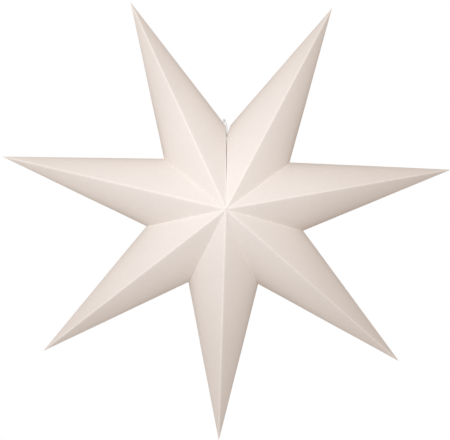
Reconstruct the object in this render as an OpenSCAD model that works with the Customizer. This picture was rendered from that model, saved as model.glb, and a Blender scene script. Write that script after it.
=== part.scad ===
// Hanging star of seven folded paper points, open along one seam at the top.
// It hangs upright in the XZ plane with its front towards -Y and +Z up.
// The origin is the star's centre, halfway between the front and back centres.

/* [Star] */
// Distance of every tip from the star's centre
tip_r = 300; // [220:5:400]
// Distance of every valley, where two points meet, from the star's centre
valley_r = 105; // [85:1:130]
// Height of the front and back centres above the star's middle plane
half_depth = 75; // [50:1:100]
// Bow of the faces between ridge and side: 1 is flat, 0.5 is a parabola
face_bow = 0.5; // [0.5:0.05:1]
// How far the tip of a level point hangs below its even place
droop = 4.8; // [0:0.1:8]

/* [Paper] */
// Thickness of the paper
paper_t = 0.4; // [0.3:0.05:0.8]
// Width of the flange that glues a point to the next one
flange_w = 10; // [7:0.5:14]
// How far behind the front and back centres the flanges begin
flange_start = 3; // [2:0.5:8]
// Width of the glue lap inside each back ridge, at the star's centre
lap_w = 8; // [5:0.5:12]
// Glue between two flanges
glue_t = 0.05; // [0.02:0.01:0.1]

/* [Top seam] */
// Distance from the seam's middle to the left sheet at the valley
seam_left = 2.6; // [2:0.1:4]
// The same for the right sheet, negative where it reaches past the middle
seam_right = -0.5; // [-0.6:0.1:1.5]
// Distance from the star's centre at which the seam starts to open
seam_start = 35; // [25:1:60]
// Length of the right sheet's edge, below the valley, that turns out at the seam's mouth
mouth_l = 5; // [3:0.5:6]
// Angle by which it turns out
mouth_angle = 18; // [0:1:18]
// How much further out the two free sides at the seam stand, as a share of a point's half width
free_bulge = 0.035; // [0:0.005:0.05]

/* [Tie thread] */
// Diameter of the thread
thread_d = 1; // [0.6:0.1:1.2]
// Diameter of the punched holes that the thread passes
hole_d = 3; // [2:0.1:4]
// Distance of the holes below the valley
hole_drop = 8; // [7:0.5:11]
// Diameter of the stop knots inside the two points
stop_d = 4.5; // [4:0.1:5.5]
// Diameter of the knot that shows above the seam
knot_d = 4; // [3.5:0.1:6]
// Distance of the knot from the seam's mouth, up the side of the left point
knot_up = 6; // [5:0.1:9]

/* [Hidden] */
POINTS = 7;

paper_white = "#ece4de";
thread_white = "#e3e4e2";

// Ribs run from a tip to the valley line, and this many lie on each face
FACE_RIBS = 14;
// A glue lap ends in a step this wide, as a share of the face's width
LAP_STEP = 0.01;

sector = 360 / POINTS;
half_sector = sector / 2;
slope = tan(half_sector);
valley_x = valley_r * cos(half_sector);
// Half width of a point's base, measured through the star's centre
base_w = tip_r * valley_r * sin(half_sector) / (tip_r - valley_x);

// A flange keeps its width along the valley line, which leans like this chord
valley_lean = half_depth / norm([half_depth, valley_r]);
flange_reach = flange_w / valley_lean * cos(half_sector);
// Flanges narrow to nothing from here to the centre, where fourteen of them meet
flange_full_x = 2.5 * flange_reach;

// Distance of a face's middle from the star's centre, square to the face
mid_bow = pow(0.5, face_bow);
mid_slope = half_depth * face_bow * mid_bow / 0.5 / base_w;
mid_rise = half_depth * mid_bow + 0.5 * base_w * mid_slope;
face_reach = tip_r * mid_rise / norm([mid_rise, tip_r, tip_r * mid_slope]);
// The inner skin of a sheet is its outer skin, brought in by one or two layers of paper
function skin_scale(layers) = 1 - layers * paper_t / face_reach;

lap_share = lap_w / base_w;

// The seam's gap narrows behind the star's sides, to this share of its width at the back ridges
BACK_GAP = 0.1;
BACK_NARROWING = 2;
// A rib is [side, front or back, share of the width, layers of paper, opening of the seam]
function rib_share(step) = 1 - pow(1 - step / FACE_RIBS, 2);
function seam_fade(step) = max(BACK_GAP, 1 - BACK_NARROWING * (1 - step / FACE_RIBS));
function front_ribs(side, steps) = [for (s = steps) [side, -1, rib_share(s), 1, 1]];
function back_ribs(side, steps) = [for (s = steps) [side, 1, rib_share(s), 1, seam_fade(s)]];
lap_ribs = [
    [-1, 1, LAP_STEP, 2, seam_fade(0)],
    [-1, 1, lap_share, 2, seam_fade(0)],
    [-1, 1, lap_share + LAP_STEP, 1, seam_fade(0)],
];
ribs = concat(
    front_ribs(1, [0:FACE_RIBS]),
    back_ribs(1, [FACE_RIBS - 1:-1:0]),
    lap_ribs,
    back_ribs(-1, [for (s = [1:FACE_RIBS - 1]) if (rib_share(s) > lap_share + 2 * LAP_STEP) s]),
    front_ribs(-1, [FACE_RIBS:-1:1])
);

// A sheet's edge is [distance from the seam's middle, angle that turns out at the mouth, free bulge]
GLUED_EDGE = [glue_t / 2, 0, 0];
LEFT_SHEET_EDGE = [seam_left, 0, free_bulge];
RIGHT_SHEET_EDGE = [seam_right, mouth_angle, free_bulge];

// The cut is [turn of the open seam, turn of its mouth, half width of the point's base], and a glued
// sheet ends at z = slope * x - set_in
function set_in(layers) = (glue_t / 2 + layers * paper_t) / cos(half_sector);
function rib_cut(rib, edges) =
    let (edge = rib[0] > 0 ? edges[0] : edges[1])
    [
        (edge[0] - glue_t / 2) * rib[4] / cos(half_sector) / (valley_x - seam_start),
        tan(edge[1]) * rib[4] / pow(cos(half_sector), 2),
        base_w * (1 + edge[2])
    ];
mouth_x = (valley_r - mouth_l) * cos(half_sector);
function cut_z(x, layers, cut) =
    slope * x - set_in(layers) - cut[0] * max(0, x - seam_start) - cut[1] * max(0, x - mouth_x);
// How far down its rib, from the tip at 0 to the centre at 1, a skin meets the line z = lean * x + offset
function line_at(rib, size, width, lean, offset) =
    (size * tip_r * lean + offset) / (size * tip_r * lean + size * width * rib[2]);
function glued_at(rib, size, layers, cut) = line_at(rib, size, cut[2], slope, -set_in(layers));
// How far down its rib a skin meets the cut
function cut_at(rib, size, layers, cut) =
    let (
        open_lean = slope - cut[0],
        open_offset = cut[0] * seam_start - set_in(layers),
        glued = glued_at(rib, size, layers, cut),
        open = line_at(rib, size, cut[2], open_lean, open_offset),
        mouth = line_at(rib, size, cut[2], open_lean - cut[1], open_offset + cut[1] * mouth_x)
    )
    size * tip_r * (1 - glued) < seam_start ? glued : min(open, mouth);
function skin_at(rib, size, cut, u) =
    size * [
        tip_r * (1 - u),
        rib[1] * half_depth * pow(1 - rib[2], face_bow) * u,
        rib[0] * cut[2] * rib[2] * u
    ];
function skin_point(rib, size, layers, cut) = skin_at(rib, size, cut, cut_at(rib, size, layers, cut));
function flange_point(rib, fold, layers, cut) =
    let (
        glued_fold = skin_at(rib, 1, cut, glued_at(rib, 1, 0, cut)),
        reach = flange_reach * min(1, glued_fold.x / flange_full_x),
        x = max(set_in(layers) / slope, glued_fold.x - reach),
        y = fold.y - rib[1] * flange_start * max(0, 1 - fold.x / valley_x)
    )
    [x, y, rib[0] * cut_z(x, layers, cut)];

// Fold at the valley, the flange's two edges and the inside of the fold, for one rib
function rib_points(rib, edges) =
    let (cut = rib_cut(rib, edges), fold = skin_point(rib, 1, 0, cut))
    [
        fold,
        flange_point(rib, fold, 0, cut),
        flange_point(rib, fold, 1, cut),
        skin_point(rib, skin_scale(rib[3]), 1, cut)
    ];

// Points are numbered clockwise from the seam, as seen from the front
function point_turn(number) = (number - 0.5) * sector;
// A point is drawn along +X, with its counter-clockwise side towards +Z
function tip_place(number) = [tip_r, 0, -droop * sin(point_turn(number))];
function placed(number, p) =
    let (s = sin(point_turn(number)), c = cos(point_turn(number)))
    [p.x * s - p.z * c, p.y, p.x * c + p.z * s];

// One sheet, folded at the front ridge and lapped at the back one
module folded_point(tip, edges) {
    count = len(ribs);
    outer_tip = 4 * count;
    function inner_tip(j) = outer_tip + ribs[j % count][3];
    function corner(j, k) = 4 * (j % count) + k;
    function square(j, k) = [
        [corner(j, k), corner(j, k + 1), corner(j + 1, k + 1)],
        [corner(j, k), corner(j + 1, k + 1), corner(j + 1, k)]
    ];
    function skins(j) = concat(
        [[outer_tip, corner(j, 0), corner(j + 1, 0)]],
        [[corner(j, 3), inner_tip(j), corner(j + 1, 3)]],
        inner_tip(j) == inner_tip(j + 1) ? [] : [[inner_tip(j), inner_tip(j + 1), corner(j + 1, 3)]]
    );
    polyhedron(
        points = concat(
            [for (rib = ribs) each rib_points(rib, edges)],
            [tip, tip * skin_scale(1), tip * skin_scale(2)]
        ),
        faces = [for (j = [0:count - 1]) each concat(skins(j), square(j, 0), square(j, 1), square(j, 2))],
        convexity = 6
    );
}

// The seam lies between point 1, whose counter-clockwise side is its right sheet, and the last point
module star_point(number) {
    edges = [
        number == 1 ? RIGHT_SHEET_EDGE : GLUED_EDGE,
        number == POINTS ? LEFT_SHEET_EDGE : GLUED_EDGE
    ];
    color(paper_white)
    difference() {
        rotate([0, point_turn(number) - 90, 0])
            folded_point(tip_place(number), edges);
        if (number == 1 || number == POINTS)
            tie_hole();
    }
}

function unit(v) = v / norm(v);

// The ribs along the two sides that meet at the seam's mouth
left_side_rib = [-1, -1, 1, 1, 1];
left_side_cut = rib_cut(left_side_rib, [GLUED_EDGE, LEFT_SHEET_EDGE]);
right_side_rib = [1, -1, 1, 1, 1];
right_side_cut = rib_cut(right_side_rib, [RIGHT_SHEET_EDGE, GLUED_EDGE]);

hole_z = valley_r - hole_drop;
// The X at which a side's flange crosses the height of the holes, and how much it leans out there
function flange_line(number, rib, cut) =
    let (
        own_fold = skin_point(rib, 1, 0, cut),
        fold = placed(number, own_fold),
        edge = placed(number, flange_point(rib, own_fold, 0, cut)),
        lean = (fold.x - edge.x) / (fold.z - edge.z)
    )
    [edge.x + lean * (hole_z - edge.z), abs(lean)];
left_flange = flange_line(POINTS, left_side_rib, left_side_cut);
right_flange = flange_line(1, right_side_rib, right_side_cut);

module tie_hole() {
    hole_l = 2 * (max(-left_flange[0], right_flange[0]) + hole_d);
    translate([0, 0, hole_z])
        rotate([0, 90, 0])
            cylinder(h = hole_l, d = hole_d, center = true, $fn = 48);
}

// The thread: a stop knot inside each of the two top points, and both ends tied above the seam
THREAD_SIDES = 8;
STEPS_PER_BEND = 4;
// A stop knot lies against the rim of its hole, in a flange that leans
stop_clear = 0.15;
function stop_reach(lean) =
    let (past_rim = sqrt(pow(stop_d / 2 + stop_clear, 2) - pow(hole_d / 2, 2)))
    paper_t * norm([1, lean]) + hole_d / 2 * lean + past_rim;
left_stop = [left_flange[0] - stop_reach(left_flange[1]), 0, hole_z];
right_stop = [right_flange[0] + stop_reach(right_flange[1]), 0, hole_z];
// The two strands run up one behind the other in the middle of the open seam
seam_mid_x = (left_flange[0] + right_flange[0]) / 2;
strand_pitch = 1.3 * thread_d;
// The left point's side runs from the seam's mouth to its tip, and the knot lies just above it
knot_clear = 0.2;
mouth = placed(POINTS, skin_point(left_side_rib, 1, 0, left_side_cut));
side_run = unit(placed(POINTS, tip_place(POINTS)) - mouth);
side_out = [side_run.z, 0, -side_run.x];
knot_at = mouth + knot_up * side_run + (knot_d / 2 + knot_clear) * side_out;
strand_top_z = mouth.z + 1.5 * thread_d;

// The route of one strand, from its stop knot to the knot above: side is -1 in front, 1 behind
function strand_route(stop, side) =
    let (y = side * strand_pitch / 2)
    [
        [stop.x, y, hole_z],
        [seam_mid_x, y, hole_z],
        [seam_mid_x, y, hole_z + 2 * thread_d],
        [seam_mid_x, y, strand_top_z],
        [knot_at.x, y, knot_at.z]
    ];
// Each corner of a route is rounded by a short curve through the middles of its two runs
function middle(a, b) = (a + b) / 2;
function bend(a, b, c, t) = pow(1 - t, 2) * middle(a, b) + 2 * t * (1 - t) * b + t * t * middle(b, c);
function rounded(route) = concat(
    [route[0]],
    [for (i = [1:len(route) - 2]) for (k = [(i == 1 ? 0 : 1):STEPS_PER_BEND])
        bend(route[i - 1], route[i], route[i + 1], k / STEPS_PER_BEND)],
    [route[len(route) - 1]]
);
// A route lies in a plane of constant Y, so every ring has +Y as one of its sides
function ring(path, i, r) =
    let (
        ahead = unit(path[min(i + 1, len(path) - 1)] - path[max(i - 1, 0)]),
        across = unit(cross(ahead, [0, 1, 0])),
        aside = cross(across, ahead)
    )
    [for (k = [0:THREAD_SIDES - 1])
        path[i] + r * (across * cos(360 * k / THREAD_SIDES) + aside * sin(360 * k / THREAD_SIDES))];
module tube(path, d) {
    n = THREAD_SIDES;
    last = len(path) - 1;
    polyhedron(
        points = [for (i = [0:last]) each ring(path, i, d / 2)],
        faces = concat(
            [[for (k = [n - 1:-1:0]) k]],
            [for (i = [0:last - 1]) for (k = [0:n - 1]) each [
                [i * n + k, (i + 1) * n + (k + 1) % n, (i + 1) * n + k],
                [i * n + k, i * n + (k + 1) % n, (i + 1) * n + (k + 1) % n]
            ]],
            [[for (k = [0:n - 1]) last * n + k]]
        )
    );
}
// A ball whose poles point along Y, turned so that its own seam faces away from the strands
module knot(place, d, turn) {
    translate(place)
        rotate([90, turn, 0])
            sphere(d = d, $fn = 32);
}
module tie_thread() {
    color(thread_white) {
        tube(rounded(strand_route(left_stop, -1)), thread_d);
        tube(rounded(strand_route(right_stop, 1)), thread_d);
        knot(left_stop, stop_d, 180);
        knot(right_stop, stop_d, 0);
        knot(knot_at, knot_d, -90);
    }
}

star_point(1);  // point_1
star_point(2);  // point_2
star_point(3);  // point_3
star_point(4);  // point_4
star_point(5);  // point_5
star_point(6);  // point_6
star_point(7);  // point_7
tie_thread();
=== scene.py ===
import math

import bpy
import numpy as np
from mathutils import Matrix, Vector, noise

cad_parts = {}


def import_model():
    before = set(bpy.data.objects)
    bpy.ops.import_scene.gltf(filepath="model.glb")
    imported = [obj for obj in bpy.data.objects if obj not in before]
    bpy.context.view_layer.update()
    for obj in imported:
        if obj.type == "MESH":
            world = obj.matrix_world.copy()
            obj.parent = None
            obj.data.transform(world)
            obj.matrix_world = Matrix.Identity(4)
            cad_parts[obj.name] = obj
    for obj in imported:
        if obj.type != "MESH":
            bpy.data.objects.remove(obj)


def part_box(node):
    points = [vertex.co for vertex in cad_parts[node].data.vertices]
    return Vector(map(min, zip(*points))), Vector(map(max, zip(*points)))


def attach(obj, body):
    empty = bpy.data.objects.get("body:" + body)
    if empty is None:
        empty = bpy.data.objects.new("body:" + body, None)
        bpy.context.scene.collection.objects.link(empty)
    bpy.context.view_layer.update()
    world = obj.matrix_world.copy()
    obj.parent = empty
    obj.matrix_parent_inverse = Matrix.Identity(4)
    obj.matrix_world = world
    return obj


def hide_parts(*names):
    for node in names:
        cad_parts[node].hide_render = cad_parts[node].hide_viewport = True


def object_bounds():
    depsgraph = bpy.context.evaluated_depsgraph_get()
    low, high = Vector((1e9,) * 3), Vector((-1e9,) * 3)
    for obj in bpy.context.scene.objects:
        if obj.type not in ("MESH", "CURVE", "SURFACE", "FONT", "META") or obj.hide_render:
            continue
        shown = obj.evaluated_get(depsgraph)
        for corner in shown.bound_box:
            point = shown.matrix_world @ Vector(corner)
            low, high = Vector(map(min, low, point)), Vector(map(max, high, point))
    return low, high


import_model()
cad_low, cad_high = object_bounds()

# A star of seven folded paper points, which hangs upright in the XZ plane with its front
# towards -Y. Every length is in metres. The star's own sizes come from the frame, and the
# formulas for its points are those of the CAD model, with more ribs and softer folds. Where a
# value gives another form than the CAD model has, its comment says so.
MM = 0.001

# Star. A point's own X runs out to its tip, and the plane to its neighbour is z = SLOPE * x.
POINTS = 7
SECTOR = 2 * math.pi / POINTS
HALF_SECTOR = SECTOR / 2
SLOPE = math.tan(HALF_SECTOR)
LOWEST_POINT = "point_4"
TIP_R = -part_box(LOWEST_POINT)[0].z
HALF_DEPTH = cad_high.y
# The outer end of each valley: how far out it lies, and its place along a point's own X
VALLEY_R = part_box(LOWEST_POINT)[1].x / math.sin(HALF_SECTOR)
VALLEY_X = VALLEY_R * math.cos(HALF_SECTOR)
# Half the width that a point's cone would have at the star's centre
BASE_W = TIP_R * VALLEY_R * math.sin(HALF_SECTOR) / (TIP_R - VALLEY_X)
# How far the tips of the level points hang below their even places
DROOP = 4.8 * MM
# A face's rise is a power of its distance from the side: 1 is flat, and a lower one bows out more.
# Towards the tip the faces are flatter, as the photo's shading shows. In the CAD model every face
# has FACE_BOW all over.
FACE_BOW = 0.5
TIP_BOW = 0.9
# Each face is a little flatter or rounder than that, by up to this much in its bow
BOW_SPREAD = 0.03

# Paper
PAPER_T = 0.4 * MM
GLUE_T = 0.05 * MM
FLANGE_W = 10 * MM
# How much nearer to the middle plane a flange's edge lies than its fold, at the star's centre
FLANGE_START = 3 * MM
LAP_W = 8 * MM
# Radius of the fold along a ridge, outside and inside the sheet
RIDGE_R = 0.65 * MM
RIDGE_R_INSIDE = 0.25 * MM
# Length of a valley fold's round part on each side of the fold, outside and inside the sheet
VALLEY_FOLD = 0.4 * MM
VALLEY_FOLD_INSIDE = 0.15 * MM
# Faint dents of handled paper, which fade out near the tip, by share of the sheet, and near a valley
DENT_DEPTH = 0.16 * MM
DENT_SIZE = 55 * MM
DENT_START = 0.03
DENT_FADE = 0.2
DENT_VALLEY_FADE = 30 * MM
# How far the paler band along the folds reaches from a ridge and from a valley: worn fibres, with a painted
# highlight on the ridge and painted light along the valley
RIDGE_WEAR_AND_HIGHLIGHT = 1.2 * MM
VALLEY_WEAR_AND_LIGHT = 3.4 * MM

# Seam at the top: a free sheet stands off the seam's middle, and the right one turns out at the mouth
SEAM_LEFT = 2.6 * MM
SEAM_RIGHT = -0.5 * MM
SEAM_START = 35 * MM
MOUTH_L = 5 * MM
MOUTH_ANGLE = math.radians(18)
# A free sheet's side stands out further by this share
FREE_BULGE = 0.035
# Share of the seam's gap that is left at the back ridge, and how fast the gap narrows towards it.
# In the CAD model it narrows twice as fast.
BACK_GAP = 0.1
BACK_NARROWING = 1.0
MOUTH_X = (VALLEY_R - MOUTH_L) * math.cos(HALF_SECTOR)
# How far the right sheet's free edge bows over towards the left one, below the mouth. In the CAD
# model it is straight.
FREE_CURL = 0.75 * MM
# An edge is (distance from the seam's middle, angle that turns out at the mouth, free bulge, curl)
GLUED_EDGE = (GLUE_T / 2, 0.0, 0.0, 0.0)
LEFT_SHEET_EDGE = (SEAM_LEFT, 0.0, FREE_BULGE, 0.0)
RIGHT_SHEET_EDGE = (SEAM_RIGHT, MOUTH_ANGLE, FREE_BULGE, FREE_CURL)

# Thread that ties the seam
THREAD_D = 1.0 * MM
HOLE_D = 3.0 * MM
HOLE_DROP = 8 * MM
STOP_D = 4.5 * MM
STOP_CLEAR = 0.15 * MM
KNOT_D = 4.0 * MM
KNOT_UP = 6.0 * MM
KNOT_CLEAR = 0.2 * MM
STRAND_PITCH = 1.3 * THREAD_D
# Height of the strands' turns above the holes and above the seam's mouth
STRAND_TURN_UP = 2 * THREAD_D
MOUTH_TURN_UP = 1.5 * THREAD_D
# The knot's two cut ends stand up from it, leaning apart
TAIL_L = 1.2 * MM
TAIL_SPREAD = 0.35
TAIL_STEPS = 6
KNOT_AXIS = (0.35, -1, 0.3)
STOP_AXIS = (1, 0, 0)
# A knot's loop: its points, how far its formula reaches out, and how high it passes over itself
KNOT_STEPS = 90
KNOT_REACH = 3
KNOT_OVER = 1.25
# The thread's twist and its points
YARN_SIDES = 18
YARN_PLIES = 3
YARN_GROOVE = 0.16
YARN_TWIST = 3.6 * MM
RINGS_PER_MM = 5
FEWEST_RINGS = 8
BEND_STEPS = 12
HOLE_SIDES = 40
# No run of the thread starts in this direction
OFF_THREAD = (0.3, 1.0, 0.2)

# Flanges keep their width along the valley line, and narrow to nothing over the last of it
VALLEY_LEAN = HALF_DEPTH / math.hypot(HALF_DEPTH, VALLEY_R)
FLANGE_REACH = FLANGE_W / VALLEY_LEAN * math.cos(HALF_SECTOR)
FLANGE_NARROWING = 2.5
FLANGE_FULL_X = FLANGE_NARROWING * FLANGE_REACH
# Distance of a face's middle from the star's centre, square to the face
MIDDLE = 0.5
MID_BOW = MIDDLE ** FACE_BOW
MID_SLOPE = HALF_DEPTH * FACE_BOW * MID_BOW / MIDDLE / BASE_W
MID_RISE = HALF_DEPTH * MID_BOW + MIDDLE * BASE_W * MID_SLOPE
FACE_REACH = TIP_R * MID_RISE / math.sqrt(MID_RISE ** 2 + TIP_R ** 2 + (TIP_R * MID_SLOPE) ** 2)

# Ribs of the sheet: side of the point, and half of the star
FRONT, BACK = -1, 1
LEFT, RIGHT = 1, -1
GLUED_UNDER = 1 + GLUE_T / PAPER_T
LAP_SHARE = LAP_W / BASE_W
LAP_RIBS = 7
# The outer sheet's cut edge lies beside the back ridge, and the lap is folded in under it
EDGE_SHARE = 0.016
LAP_FOLD_SHARE = 0.012
# Ribs across a face: a few close to the ridge, then more and more of them towards the side.
# Each stays some way off the last one at the ridge, and off the cut edge.
FACE_STEPS = 22
RIDGE_SHARES = [0.0035, 0.008, 0.014, 0.022, 0.034, 0.05]
OFF_RIDGE_RIBS = 1.3
OFF_CUT_EDGE = 1.2
# A ridge is rounded over at most this share of the width, and a valley over this share of its flange
RIDGE_ROUND_MAX = 0.3
VALLEY_ROUND_MAX = 0.45
# Points along a rib: closer together at the tip, and near the valley fold
TIP_STEP = 0.004
TIP_CROWDING = 1.25
RIB_STEPS = 44
NEAR_FOLD = [14 * MM, 9 * MM, 6 * MM, 4 * MM, 2.6 * MM, 1.6 * MM]
FOLD_STEPS = 4
FLANGE_STEPS = [0.5, 1.0]
# The lap starts and ends short of the sheet's tip and fold
LAP_FIRST_ROW = 6
LAP_LAST_ROW = RIB_STEPS + 3
# Shading breaks at edges that are sharper than this
SHARP_ANGLE = math.radians(48)

# Camera
IMAGE_W = 450
CAMERA_DISTANCE = 2.5
CAMERA_AZIMUTH = math.radians(-0.474)
CAMERA_ELEVATION = math.radians(-1.142)
# The star hangs turned clockwise by this much in the picture
STAR_ROLL = math.radians(1.651)
PIXELS_PER_METRE = 765
VIEW_RIGHT = -0.51 * MM
VIEW_UP = -12.29 * MM
SENSOR_W = 36

# Lamps: name, azimuth and elevation in degrees as seen from the star, distance, size, watts, colour
DAYLIGHT = (0.935, 1.0, 1.07)
LAMPS = [
    ("front", 0, 15, 0.65, 0.25, 2.03, DAYLIGHT),
    ("left", -55, 12, 1.0, 0.6, 1.90, DAYLIGHT),
]
# Soft light from all round, a little warm from the room
AMBIENT = 0.452
AMBIENT_COLOR = (1.0, 0.85, 0.735, 1)
FLOOR_DROP = 0.15
FLOOR_R = 1.3
FLOOR_CLEAR_R = 0.85


def unit(v):
    return v / np.linalg.norm(v)


def layer_scale(depth):
    """A skin that lies some layers of paper below the outer one is that one, brought in to the centre."""
    return 1 - depth * PAPER_T / FACE_REACH


def set_in(layers):
    """How far a sheet stands back from the plane between two points, measured along Z."""
    return (GLUE_T / 2 + layers * PAPER_T) / math.cos(HALF_SECTOR)


def point_turn(number):
    """Points are numbered clockwise from the seam, as seen from the front."""
    return (number - 0.5) * SECTOR


def placed(number, p):
    """From a point's own frame, along +X with its counter-clockwise side at +Z, to the star's."""
    s, c = math.sin(point_turn(number)), math.cos(point_turn(number))
    return np.stack([p[..., 0] * s - p[..., 2] * c, p[..., 1], p[..., 0] * c + p[..., 2] * s], axis=-1)


def tip_shift(number):
    return np.array([0.0, 0.0, -DROOP * math.sin(point_turn(number))])


def curve(start, corner, end, steps):
    """Points from start to end that round off the corner between them."""
    places = np.linspace(0, 1, steps + 1)
    return [(1 - t) ** 2 * start + 2 * t * (1 - t) * corner + t * t * end for t in places]


def circle(radius, steps):
    angles = np.linspace(0, 2 * math.pi, steps, endpoint=False)
    return [(radius * math.cos(a), radius * math.sin(a)) for a in angles]


def meet(run, width, lean, offset):
    """How far from the tip a line with this run and width meets z = lean * x + offset."""
    return (run * lean + offset) / (run * lean + width)


class Rib:
    """A line of the sheet from the tip to the valley, and round the valley fold to the flange's edge."""

    def __init__(self, side, half, share, depth=0.0, opening=1.0, bow=FACE_BOW, edge=GLUED_EDGE):
        self.side = side
        self.half = half
        self.share = share
        self.depth = depth
        self.bow = bow
        gap, mouth_angle, bulge, self.curl = edge
        self.half_width = BASE_W * (1 + bulge)
        self.turn = (gap - GLUE_T / 2) * opening / math.cos(HALF_SECTOR) / (VALLEY_X - SEAM_START)
        self.mouth_turn = math.tan(mouth_angle) * opening / math.cos(HALF_SECTOR) ** 2

    def curled(self, x):
        """How far the edge bows over towards the other sheet at a distance from the star's centre."""
        along = min(max((x - SEAM_START) / (MOUTH_X - SEAM_START), 0.0), 1.0)
        return self.curl * math.sin(math.pi * along ** 2)

    def glued_end(self, size, layers):
        """Where a skin meets the plane between two glued points, from 0 at the tip to 1 at the centre."""
        return meet(size * TIP_R, size * self.half_width * self.share, SLOPE, -set_in(layers))

    def end(self, size, layers):
        """Where a skin ends: at its glued neighbour, or at the open seam."""
        glued = self.glued_end(size, layers)
        glued_x = size * TIP_R * (1 - glued)
        if glued_x < SEAM_START:
            return glued
        run, width = size * TIP_R, size * self.half_width * self.share
        lean = SLOPE - self.turn
        offset = self.turn * SEAM_START - set_in(layers) + self.curled(glued_x)
        opened = meet(run, width, lean, offset)
        mouth = meet(run, width, lean - self.mouth_turn, offset + self.mouth_turn * MOUTH_X)
        return min(opened, mouth)

    def skin(self, shift, size, u, end, ridge_r):
        """Points of a skin at the places u, with the ridge rounded and the tip shifted."""
        ridge_share = ridge_r / (BASE_W * np.maximum(u, TIP_STEP))
        soft = np.minimum(RIDGE_ROUND_MAX, ridge_share) * (1 - self.share)
        bow = self.bow + (TIP_BOW - FACE_BOW) * (1 - u) ** 2
        rise = HALF_DEPTH * (1 - np.hypot(self.share, soft)) ** bow if self.share < 1 else 0 * u
        width = self.half_width * self.share * u
        cone = np.stack([TIP_R * (1 - u), self.half * rise * u, self.side * width], axis=-1)
        return size * (cone + shift * (1 - u / end)[:, None])

    def flange_edge(self, fold, layers):
        """Where the flange that starts at this fold has its cut edge."""
        size = layer_scale(self.depth)
        glued_x = size * TIP_R * (1 - self.glued_end(size, 0))
        reach = FLANGE_REACH * min(1.0, glued_x / FLANGE_FULL_X)
        x = max(set_in(layers) / SLOPE, glued_x - reach)
        y = fold[1] - self.half * FLANGE_START * max(0.0, 1 - fold[0] / VALLEY_X)
        opened = self.turn * max(0.0, x - SEAM_START) + self.mouth_turn * max(0.0, x - MOUTH_X)
        return np.array([x, y, self.side * (SLOPE * x - set_in(layers) - opened + self.curled(x))])

    def fold_point(self, shift, size, layers):
        end = self.end(size, layers)
        return self.skin(shift, size, np.array([end]), end, RIDGE_R)[0]

    def path(self, shift, layers):
        """The rib's points on one skin, 0 outside and 1 inside, their places and distances from the fold."""
        ridge_r = (RIDGE_R, RIDGE_R_INSIDE)[layers]
        fold_r = (VALLEY_FOLD, VALLEY_FOLD_INSIDE)[layers]
        size = layer_scale(self.depth + layers)
        end = self.end(size, layers)
        length = end * math.hypot(TIP_R, HALF_DEPTH, BASE_W * self.share)
        coarse_end = 1 - NEAR_FOLD[0] / length
        coarse = TIP_STEP + (coarse_end - TIP_STEP) * np.linspace(0, 1, RIB_STEPS) ** TIP_CROWDING
        fine = [1 - d / length for d in NEAR_FOLD[1:]]
        u = end * np.array([*coarse, *fine, 1 - fold_r / length, 1.0])
        face = self.skin(shift, size, u, end, ridge_r)
        start, fold = face[-2], face[-1]
        edge = self.flange_edge(self.fold_point(shift, layer_scale(self.depth), 0), layers)
        inward = edge - fold
        bend_end = fold + inward * min(VALLEY_ROUND_MAX, fold_r / np.linalg.norm(inward))
        bend = curve(start, fold, bend_end, FOLD_STEPS)[1:]
        flange = [bend_end + (edge - bend_end) * t for t in FLANGE_STEPS]
        points = np.array([*face[:-1], *bend, *flange])
        places = np.concatenate([u[:-1], np.full(len(bend) + len(flange), end)])
        return points, places, np.linalg.norm(points - fold, axis=1)


def shares():
    """Shares of the width at which a face has a rib, without its ridge and its side."""
    even = 1 - (1 - np.arange(1, FACE_STEPS) / FACE_STEPS) ** 2
    return [*RIDGE_SHARES, *even[even > RIDGE_SHARES[-1] * OFF_RIDGE_RIBS]]


def seam_fade(share):
    """The open seam's gap narrows towards the back ridge."""
    return max(BACK_GAP, 1 - BACK_NARROWING * math.sqrt(1 - share))


def point_ribs(number):
    """The sheet's ribs in order: the lap, the left back face, the front faces, the right back face."""
    bows = np.random.default_rng(number).uniform(-BOW_SPREAD, BOW_SPREAD, 4) + FACE_BOW
    all_shares = shares()
    edges = {
        LEFT: RIGHT_SHEET_EDGE if number == 1 else GLUED_EDGE,
        RIGHT: LEFT_SHEET_EDGE if number == POINTS else GLUED_EDGE,
    }

    def back(side, share, depth, bow):
        return Rib(side, BACK, share, depth, seam_fade(share), bow, edges[side])

    def front(side, share, bow=FACE_BOW):
        return Rib(side, FRONT, share, bow=bow, edge=edges[side])

    lap_shares = np.linspace(LAP_SHARE, LAP_FOLD_SHARE, LAP_RIBS)
    lap = [back(RIGHT, s, GLUED_UNDER, bows[3]) for s in lap_shares]
    lap.append(back(RIGHT, LAP_FOLD_SHARE / 2, GLUED_UNDER / 2, bows[3]))
    left_back = [back(LEFT, s, 0, bows[0]) for s in [0.0, *all_shares]]
    left_front = [front(LEFT, s, bows[1]) for s in reversed(all_shares)]
    right_front = [front(RIGHT, s, bows[2]) for s in all_shares]
    outer_shares = [s for s in reversed(all_shares) if s > EDGE_SHARE * OFF_CUT_EDGE]
    right_back = [back(RIGHT, s, 0, bows[3]) for s in [*outer_shares, EDGE_SHARE]]
    outer = [*left_back, front(LEFT, 1.0), *left_front, front(LEFT, 0.0)]
    outer += [*right_front, front(RIGHT, 1.0), *right_back]
    return lap, outer


def smooth(x):
    x = np.clip(x, 0, 1)
    return x * x * (3 - 2 * x)


def dents(grid, places, fold_distance):
    """How far the handled paper stands out or in at each point of a grid, away from tips and folds."""
    depth = np.zeros(grid.shape[:2])
    window = smooth((places - DENT_START) / DENT_FADE) * smooth(fold_distance / DENT_VALLEY_FADE)
    for i in range(grid.shape[0]):
        for j in range(grid.shape[1]):
            if window[i, j] > 0:
                depth[i, j] = noise.noise(Vector(grid[i, j] / DENT_SIZE)) * window[i, j]
    return depth * DENT_DEPTH


def grid_normals(grid):
    across = np.gradient(grid, axis=0)
    along = np.gradient(grid, axis=1)
    n = np.cross(along, across)
    return n / np.maximum(np.linalg.norm(n, axis=2, keepdims=True), 1e-12)


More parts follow.
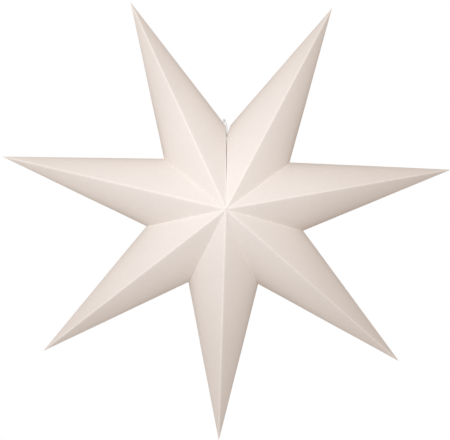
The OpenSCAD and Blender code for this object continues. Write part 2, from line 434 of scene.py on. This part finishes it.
def sheet_faces(columns, rows, lap_columns):
    """Quads of a skin, as places in its grid, and the fan of triangles at the tip."""

    def at(i, j):
        return i * rows + j

    tip = columns * rows
    faces = []
    for i in range(columns - 1):
        is_lap = i < lap_columns
        first, last = (LAP_FIRST_ROW, LAP_LAST_ROW) if is_lap else (0, rows - 1)
        faces += [(at(i, j), at(i + 1, j), at(i + 1, j + 1), at(i, j + 1)) for j in range(first, last)]
        if not is_lap:
            faces.append((tip, at(i + 1, 0), at(i, 0)))
    return faces


def close_skins(faces, count):
    """Both skins of a sheet and the walls along its cut edges. The inner points follow the outer ones."""
    sides = dict.fromkeys((a, b) for f in faces for a, b in zip(f, (*f[1:], f[0])))
    inner = [tuple(v + count for v in reversed(f)) for f in faces]
    walls = [(b, a, a + count, b + count) for a, b in sides if (b, a) not in sides]
    return [*faces, *inner, *walls]


def new_object(name, points, faces, crease_wear_and_light=None):
    """A mesh object with only the points that its faces use, and smooth shading apart from cut edges."""
    used = sorted({v for f in faces for v in f})
    number = {v: k for k, v in enumerate(used)}
    mesh = bpy.data.meshes.new(name)
    mesh.from_pydata([points[v] for v in used], [], [[number[v] for v in f] for f in faces])
    mesh.update()
    mesh.shade_smooth()
    mesh.set_sharp_from_angle(angle=SHARP_ANGLE)
    # The paler band along the folds, worn fibres plus painted highlight and painted light, is kept as a
    # point attribute
    if crease_wear_and_light is not None:
        layer = mesh.attributes.new("crease_wear_and_light", "FLOAT", "POINT")
        layer.data.foreach_set("value", np.array([crease_wear_and_light[v] for v in used], np.float32))
    piece = bpy.data.objects.new(name, mesh)
    bpy.context.scene.collection.objects.link(piece)
    return piece


def folded_point(number):
    """One point: a sheet folded at the front ridge, lapped at the back one, with two flanges."""
    lap, outer = point_ribs(number)
    ribs = [*lap, *outer]
    shift = tip_shift(number)
    skins = []
    for layers in (0, 1):
        paths = [rib.path(shift, layers) for rib in ribs]
        skins.append([np.array(part) for part in zip(*paths)])
    grid, places, fold_distance = skins[0]
    normals = grid_normals(placed(number, grid))
    dented = dents(placed(number, grid), places, fold_distance)[..., None] * normals
    columns, rows = grid.shape[:2]
    count = columns * rows + 1
    points = []
    for layers, skin in enumerate(skins):
        tip = layer_scale(layers) * (np.array([TIP_R, 0, 0]) + shift)
        points += [*(placed(number, skin[0]) + dented).reshape(-1, 3), placed(number, tip)]
    # Paler bands along the ridges and valleys: worn fibres, plus a painted highlight on the ridges and
    # painted light along the valleys
    ridge_distance = np.array([rib.share for rib in ribs])[:, None] * BASE_W * places
    ridge_wear_and_highlight = np.exp(-(ridge_distance / RIDGE_WEAR_AND_HIGHLIGHT) ** 2)
    valley_wear_and_light = np.exp(-(fold_distance / VALLEY_WEAR_AND_LIGHT) ** 2)
    crease_wear_and_light = np.concatenate([np.maximum(ridge_wear_and_highlight, valley_wear_and_light).ravel(), [1.0]])
    faces = close_skins(sheet_faces(columns, rows, len(lap)), count)
    piece = new_object(f"paper_point_{number}", points, faces, np.concatenate([crease_wear_and_light, crease_wear_and_light]))
    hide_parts(f"point_{number}")
    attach(piece, "root")
    return piece


# The tie thread's route, as in the CAD model
HOLE_Z = VALLEY_R - HOLE_DROP


def flange_line(number, rib):
    """The X at which a side's flange crosses the height of the holes, and how much it leans out there."""
    own_fold = rib.fold_point(tip_shift(number), 1.0, 0)
    fold = placed(number, own_fold)
    edge = placed(number, rib.flange_edge(own_fold, 0))
    lean = (fold[0] - edge[0]) / (fold[2] - edge[2])
    return edge[0] + lean * (HOLE_Z - edge[2]), abs(lean)


def stop_reach(lean):
    """A stop knot lies against the rim of its hole, in a flange that leans."""
    past_rim = math.sqrt((STOP_D / 2 + STOP_CLEAR) ** 2 - (HOLE_D / 2) ** 2)
    return PAPER_T * math.hypot(1, lean) + HOLE_D / 2 * lean + past_rim


LEFT_SIDE_RIB = Rib(RIGHT, FRONT, 1.0, edge=LEFT_SHEET_EDGE)
RIGHT_SIDE_RIB = Rib(LEFT, FRONT, 1.0, edge=RIGHT_SHEET_EDGE)
LEFT_FLANGE_X, LEFT_LEAN = flange_line(POINTS, LEFT_SIDE_RIB)
RIGHT_FLANGE_X, RIGHT_LEAN = flange_line(1, RIGHT_SIDE_RIB)
LEFT_STOP_X = LEFT_FLANGE_X - stop_reach(LEFT_LEAN)
RIGHT_STOP_X = RIGHT_FLANGE_X + stop_reach(RIGHT_LEAN)
SEAM_MID_X = (LEFT_FLANGE_X + RIGHT_FLANGE_X) / 2
MOUTH = placed(POINTS, LEFT_SIDE_RIB.fold_point(tip_shift(POINTS), 1.0, 0))
SIDE_RUN = unit(placed(POINTS, np.array([TIP_R, 0, 0]) + tip_shift(POINTS)) - MOUTH)
SIDE_OUT = np.array([SIDE_RUN[2], 0, -SIDE_RUN[0]])
KNOT_AT = MOUTH + KNOT_UP * SIDE_RUN + (KNOT_D / 2 + KNOT_CLEAR) * SIDE_OUT


def strand_route(stop_x, half):
    """From the stop knot in one point, through its hole and up the seam to the knot, in one half."""
    y = half * STRAND_PITCH / 2
    return np.array([
        (stop_x, y, HOLE_Z),
        (SEAM_MID_X, y, HOLE_Z),
        (SEAM_MID_X, y, HOLE_Z + STRAND_TURN_UP),
        (SEAM_MID_X, y, MOUTH[2] + MOUTH_TURN_UP),
        (KNOT_AT[0], y, KNOT_AT[2]),
    ])


def rounded(route):
    """Each corner of a route becomes a curve through the middles of its two runs."""
    path = [route[0]]
    for a, b, c in zip(route, route[1:], route[2:]):
        path += curve((a + b) / 2, b, (b + c) / 2, BEND_STEPS)
    path.append(route[-1])
    return np.array(path)


def even_steps(path, closed):
    """The same line with points at even distances."""
    if closed:
        path = np.vstack([path, path[:1]])
    run = np.concatenate([[0], np.cumsum(np.linalg.norm(np.diff(path, axis=0), axis=1))])
    count = max(FEWEST_RINGS, int(run[-1] / MM * RINGS_PER_MM))
    wanted = np.linspace(0, run[-1], count, endpoint=not closed)
    return np.stack([np.interp(wanted, run, path[:, k]) for k in range(3)], axis=1), run[-1]


def yarn(path, closed=False):
    """A twisted thread along a path: three plies show as grooves that wind round it."""
    path, length = even_steps(path, closed)
    n = len(path)
    ahead = np.roll(path, -1, 0) - np.roll(path, 1, 0) if closed else np.gradient(path, axis=0)
    ahead /= np.linalg.norm(ahead, axis=1, keepdims=True)
    across = np.cross(ahead[0], OFF_THREAD)
    turns = round(length / YARN_TWIST) if closed else length / YARN_TWIST
    points, faces = [], []
    for i in range(n):
        across = unit(across - ahead[i] * (across @ ahead[i]))
        aside = np.cross(ahead[i], across)
        for k in range(YARN_SIDES):
            angle = 2 * math.pi * k / YARN_SIDES
            in_ply = angle - 2 * math.pi * turns * i / n
            groove = YARN_GROOVE * (1 - abs(math.cos(YARN_PLIES / 2 * in_ply)))
            r = THREAD_D / 2 * (1 - groove)
            points.append(path[i] + r * (math.cos(angle) * across + math.sin(angle) * aside))

    def at(i, k):
        return (i % n) * YARN_SIDES + k % YARN_SIDES

    for i in range(n if closed else n - 1):
        faces += [(at(i, k), at(i, k + 1), at(i + 1, k + 1), at(i + 1, k)) for k in range(YARN_SIDES)]
    if not closed:
        faces.append(tuple(at(0, k) for k in reversed(range(YARN_SIDES))))
        faces.append(tuple(at(n - 1, k) for k in range(YARN_SIDES)))
    return points, faces


def knot_path(place, size, axis):
    """An overhand knot drawn tight: a three-lobed loop that passes over and under itself."""
    t = np.linspace(0, 2 * math.pi, KNOT_STEPS, endpoint=False)
    x = np.sin(t) + 2 * np.sin(2 * t)
    y = np.cos(t) - 2 * np.cos(2 * t)
    z = -KNOT_OVER * np.sin(3 * t)
    loop = (size - THREAD_D) / 2 / KNOT_REACH * np.stack([x, y, z], axis=1)
    turn = np.array(Vector((0, 0, 1)).rotation_difference(Vector(axis)).to_matrix())
    return loop @ turn.T + place


def tied_thread():
    """Two strands, each stopped by a knot inside its point, tied above the seam, with short tails."""
    runs = []
    for stop_x, half in ((LEFT_STOP_X, FRONT), (RIGHT_STOP_X, BACK)):
        runs.append((rounded(strand_route(stop_x, half)), False))
        runs.append((knot_path((stop_x, 0, HOLE_Z), STOP_D, STOP_AXIS), True))
        lean = unit(np.array([TAIL_SPREAD * half, TAIL_SPREAD * half, 1.0]))
        tail = [KNOT_AT + lean * s for s in np.linspace(0, KNOT_D / 2 + TAIL_L, TAIL_STEPS)]
        runs.append((np.array(tail), False))
    runs.append((knot_path(KNOT_AT, KNOT_D, KNOT_AXIS), True))
    points, faces = [], []
    for path, closed in runs:
        more_points, more_faces = yarn(path, closed)
        faces += [tuple(v + len(points) for v in f) for f in more_faces]
        points += more_points
    piece = new_object("tied_thread", points, faces)
    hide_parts("tie_thread")
    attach(piece, "root")
    return piece


def punch_hole(piece):
    """The hole for the thread, through the flange of a point at the open seam."""
    mesh = bpy.data.meshes.new("punch")
    n = HOLE_SIDES
    reach = max(-LEFT_FLANGE_X, RIGHT_FLANGE_X) + HOLE_D
    points = [(x, y, HOLE_Z + z) for x in (-reach, reach) for y, z in circle(HOLE_D / 2, n)]
    faces = [(k, (k + 1) % n, n + (k + 1) % n, n + k) for k in range(n)]
    faces += [tuple(reversed(range(n))), tuple(range(n, 2 * n))]
    mesh.from_pydata(points, [], faces)
    punch = bpy.data.objects.new("punch", mesh)
    bpy.context.scene.collection.objects.link(punch)
    cut = piece.modifiers.new("hole", "BOOLEAN")
    cut.operation = "DIFFERENCE"
    cut.object = punch
    cut.solver = "EXACT"
    view_layer = bpy.context.evaluated_depsgraph_get()
    punched = bpy.data.meshes.new_from_object(piece.evaluated_get(view_layer))
    piece.modifiers.clear()
    piece.data = punched
    bpy.data.objects.remove(punch)


class Nodes:
    """A small helper that adds and joins the nodes of one material."""

    def __init__(self, tree):
        self.tree = tree
        tree.nodes.clear()

    def add(self, kind, **settings):
        node = self.tree.nodes.new(kind)
        for name, value in settings.items():
            if name in node.inputs:
                node.inputs[name].default_value = value
            else:
                setattr(node, name, value)
        return node

    def join(self, a, b):
        self.tree.links.new(a, b)


def noise_field(nodes, place, scale, detail, roughness):
    field = nodes.add("ShaderNodeTexNoise", Scale=scale, Detail=detail, Roughness=roughness)
    nodes.join(place.outputs["Object"], field.inputs["Vector"])
    return field.outputs["Fac"]


def map_range(nodes, field, from_range, to_range, **settings):
    """A field, stretched or squeezed from one range to another."""
    ramp = nodes.add("ShaderNodeMapRange", **settings)
    for name, value in zip(("From Min", "From Max", "To Min", "To Max"), (*from_range, *to_range)):
        ramp.inputs[name].default_value = value
    nodes.join(field, ramp.inputs["Value"])
    return ramp.outputs["Result"]


def arithmetic(nodes, operation, a, b):
    node = nodes.add("ShaderNodeMath", operation=operation)
    for socket, value in zip(node.inputs, (a, b)):
        if isinstance(value, (int, float)):
            socket.default_value = value
        else:
            nodes.join(value, socket)
    return node.outputs[0]


# Noise: the range that a field mostly keeps to, and each field's scale, detail and roughness
NOISE_RANGE = (0.3, 0.7)
CLOUDS = (14, 3, 0.5)
PULP = (160, 4, 0.6)
FIBRES = (1500, 5, 0.65)
HAIRS = (6000, 4, 0.7)

# Paper: colours, how much each noise darkens and lightens it, and how much of the paler crease band shows
PAPER_COLOR = (0.880, 0.815, 0.765, 1)
# The crease colour is paler: worn fibres, with a painted highlight on the ridges and painted light along the
# valleys
CREASE_WEAR_AND_LIGHT_COLOR = (0.950, 0.893, 0.840, 1)
CLOUDS_LIGHT = (0.985, 1.012)
PULP_LIGHT = (0.988, 1.01)
FIBRES_LIGHT = (0.985, 1.012)
WEAR_AND_LIGHT_SHOWN = (0.55, 1.0)
PAPER_ROUGHNESS = 0.82
PAPER_SPECULAR = 0.3
PULP_HEIGHT = 0.6
FIBRES_HEIGHT = 0.4
PAPER_BUMP = 0.25
PAPER_BUMP_H = 0.08 * MM

# Cotton
COTTON_DARK = (0.62, 0.62, 0.59, 1)
COTTON_PALE = (0.86, 0.86, 0.84, 1)
COTTON_RANGE = (0.25, 0.7)
COTTON_ROUGHNESS = 0.9
COTTON_SPECULAR = 0.25
COTTON_SHEEN = 0.3
COTTON_BUMP = 0.5
COTTON_BUMP_H = 0.1 * MM

FLOOR_COLOR = (0.86, 0.86, 0.86, 1)
FLOOR_STEPS = 96


def paper_material():
    """Warm white card: faint clouds in its pulp, short fibres, and a paler band along the creases that is
    worn fibres plus a painted highlight and painted light.
    """
    material = bpy.data.materials.new("folded_paper")
    material.use_nodes = True
    nodes = Nodes(material.node_tree)
    out = nodes.add("ShaderNodeOutputMaterial")
    shader = nodes.add("ShaderNodeBsdfPrincipled", Roughness=PAPER_ROUGHNESS)
    shader.inputs["Specular IOR Level"].default_value = PAPER_SPECULAR
    nodes.join(shader.outputs[0], out.inputs["Surface"])
    place = nodes.add("ShaderNodeTexCoord")
    clouds = noise_field(nodes, place, *CLOUDS)
    pulp = noise_field(nodes, place, *PULP)
    fibres = noise_field(nodes, place, *FIBRES)
    # Lightness of the sheet
    cloudy = map_range(nodes, clouds, NOISE_RANGE, CLOUDS_LIGHT)
    mottled = map_range(nodes, pulp, NOISE_RANGE, PULP_LIGHT)
    fibrous = map_range(nodes, fibres, NOISE_RANGE, FIBRES_LIGHT)
    light = arithmetic(nodes, "MULTIPLY", arithmetic(nodes, "MULTIPLY", cloudy, mottled), fibrous)
    # Paler band along the creases: worn fibres, plus a painted highlight on the ridges and painted light
    # along the valleys
    crease_wear_and_light = nodes.add("ShaderNodeAttribute", attribute_name="crease_wear_and_light")
    shown = map_range(nodes, pulp, NOISE_RANGE, WEAR_AND_LIGHT_SHOWN)
    wear_and_light = arithmetic(nodes, "MULTIPLY", crease_wear_and_light.outputs["Fac"], shown)
    tint = nodes.add("ShaderNodeMix", data_type="RGBA")
    tint_inputs = [s for s in tint.inputs if s.type == "RGBA"]
    tint_inputs[0].default_value = PAPER_COLOR
    tint_inputs[1].default_value = CREASE_WEAR_AND_LIGHT_COLOR
    nodes.join(wear_and_light, tint.inputs["Factor"])
    shade = nodes.add("ShaderNodeVectorMath", operation="SCALE")
    nodes.join([s for s in tint.outputs if s.type == "RGBA"][0], shade.inputs[0])
    nodes.join(light, shade.inputs["Scale"])
    nodes.join(shade.outputs[0], shader.inputs["Base Color"])
    pulp_height = arithmetic(nodes, "MULTIPLY", pulp, PULP_HEIGHT)
    fibres_height = arithmetic(nodes, "MULTIPLY", fibres, FIBRES_HEIGHT)
    bump = nodes.add("ShaderNodeBump", Strength=PAPER_BUMP, Distance=PAPER_BUMP_H)
    nodes.join(arithmetic(nodes, "ADD", pulp_height, fibres_height), bump.inputs["Height"])
    nodes.join(bump.outputs[0], shader.inputs["Normal"])
    return material


def thread_material():
    """Soft white cotton with fine hairs."""
    material = bpy.data.materials.new("cotton_thread")
    material.use_nodes = True
    nodes = Nodes(material.node_tree)
    out = nodes.add("ShaderNodeOutputMaterial")
    shader = nodes.add("ShaderNodeBsdfPrincipled", Roughness=COTTON_ROUGHNESS)
    shader.inputs["Specular IOR Level"].default_value = COTTON_SPECULAR
    shader.inputs["Sheen Weight"].default_value = COTTON_SHEEN
    nodes.join(shader.outputs[0], out.inputs["Surface"])
    place = nodes.add("ShaderNodeTexCoord")
    hairs = noise_field(nodes, place, *HAIRS)
    ramp = nodes.add("ShaderNodeValToRGB")
    for stop, color, position in zip(ramp.color_ramp.elements, (COTTON_DARK, COTTON_PALE), COTTON_RANGE):
        stop.color = color
        stop.position = position
    nodes.join(hairs, ramp.inputs["Fac"])
    nodes.join(ramp.outputs["Color"], shader.inputs["Base Color"])
    bump = nodes.add("ShaderNodeBump", Strength=COTTON_BUMP, Distance=COTTON_BUMP_H)
    nodes.join(hairs, bump.inputs["Height"])
    nodes.join(bump.outputs[0], shader.inputs["Normal"])
    return material


def floor_material():
    """Pale matt floor, which fades into the white background and can't be seen from below."""
    material = bpy.data.materials.new("pale_floor")
    material.use_nodes = True
    nodes = Nodes(material.node_tree)
    out = nodes.add("ShaderNodeOutputMaterial")
    matt = nodes.add("ShaderNodeBsdfDiffuse", Color=FLOOR_COLOR)
    clear = nodes.add("ShaderNodeBsdfTransparent")
    place = nodes.add("ShaderNodeTexCoord")
    distance = nodes.add("ShaderNodeVectorMath", operation="LENGTH")
    nodes.join(place.outputs["Object"], distance.inputs[0])
    rim = (FLOOR_CLEAR_R, FLOOR_R)
    fade = map_range(nodes, distance.outputs["Value"], rim, (0, 1), interpolation_type="SMOOTHSTEP")
    behind = nodes.add("ShaderNodeNewGeometry")
    hidden = arithmetic(nodes, "MAXIMUM", fade, behind.outputs["Backfacing"])
    mix = nodes.add("ShaderNodeMixShader")
    nodes.join(hidden, mix.inputs["Fac"])
    nodes.join(matt.outputs[0], mix.inputs[1])
    nodes.join(clear.outputs[0], mix.inputs[2])
    nodes.join(mix.outputs[0], out.inputs["Surface"])
    return material


def floor():
    """A round floor below the hanging star."""
    mesh = bpy.data.meshes.new("floor")
    ring = [(x, y, 0) for x, y in circle(FLOOR_R, FLOOR_STEPS)]
    mesh.from_pydata(ring, [], [tuple(range(FLOOR_STEPS))])
    disc = bpy.data.objects.new("floor", mesh)
    disc.location = (0, 0, cad_low.z - FLOOR_DROP)
    disc.data.materials.append(floor_material())
    bpy.context.scene.collection.objects.link(disc)


def toward(azimuth, elevation):
    """The direction from the star to a place at these angles, in degrees: the right and up are positive."""
    a, e = math.radians(azimuth), math.radians(elevation)
    return Vector((math.sin(a) * math.cos(e), -math.cos(a) * math.cos(e), math.sin(e)))


def lamps():
    for name, azimuth, elevation, distance, size, watts, color in LAMPS:
        data = bpy.data.lights.new(name, "AREA")
        data.shape = "SQUARE"
        data.size = size
        data.energy = watts
        data.color = color
        lamp = bpy.data.objects.new(name, data)
        lamp.visible_camera = False
        away = toward(azimuth, elevation)
        lamp.location = away * distance
        lamp.rotation_mode = "QUATERNION"
        lamp.rotation_quaternion = (-away).to_track_quat("-Z", "Y")
        bpy.context.scene.collection.objects.link(lamp)


def world():
    """White for the camera and in reflections, and a soft dimmer light on the star itself."""
    sky = bpy.data.worlds.new("studio")
    bpy.context.scene.world = sky
    sky.use_nodes = True
    nodes = Nodes(sky.node_tree)
    out = nodes.add("ShaderNodeOutputWorld")
    white = nodes.add("ShaderNodeBackground", Color=(1, 1, 1, 1), Strength=1.0)
    soft = nodes.add("ShaderNodeBackground", Color=AMBIENT_COLOR, Strength=AMBIENT)
    ray = nodes.add("ShaderNodeLightPath")
    seen = arithmetic(nodes, "MAXIMUM", ray.outputs["Is Camera Ray"], ray.outputs["Is Glossy Ray"])
    seen = arithmetic(nodes, "MAXIMUM", seen, ray.outputs["Is Transmission Ray"])
    mix = nodes.add("ShaderNodeMixShader")
    nodes.join(seen, mix.inputs["Fac"])
    nodes.join(soft.outputs[0], mix.inputs[1])
    nodes.join(white.outputs[0], mix.inputs[2])
    nodes.join(mix.outputs[0], out.inputs["Surface"])


def camera():
    """The photograph's view: nearly straight from the front, with the star turned a little clockwise."""
    a, e = CAMERA_AZIMUTH, CAMERA_ELEVATION
    right = Vector((math.cos(a), math.sin(a), 0))
    ahead = Vector((-math.sin(a) * math.cos(e), math.cos(a) * math.cos(e), -math.sin(e)))
    up = right.cross(ahead)
    place = -ahead * CAMERA_DISTANCE + right * VIEW_RIGHT + up * VIEW_UP
    pose = Matrix((right, up, -ahead)).transposed().to_4x4()
    pose.translation = place
    data = bpy.data.cameras.new("camera")
    data.sensor_width = SENSOR_W
    data.lens = SENSOR_W * PIXELS_PER_METRE * CAMERA_DISTANCE / IMAGE_W
    shot = bpy.data.objects.new("camera", data)
    shot.matrix_world = Matrix.Rotation(-STAR_ROLL, 4, "Y") @ pose
    bpy.context.scene.collection.objects.link(shot)
    bpy.context.scene.camera = shot


camera()
sheets = [folded_point(number) for number in range(1, POINTS + 1)]
punch_hole(sheets[0])
punch_hole(sheets[-1])
paper = paper_material()
for sheet in sheets:
    sheet.data.materials.append(paper)
thread = tied_thread()
thread.data.materials.append(thread_material())
floor()
lamps()
world()

bpy.context.scene.view_settings.view_transform = "Standard"
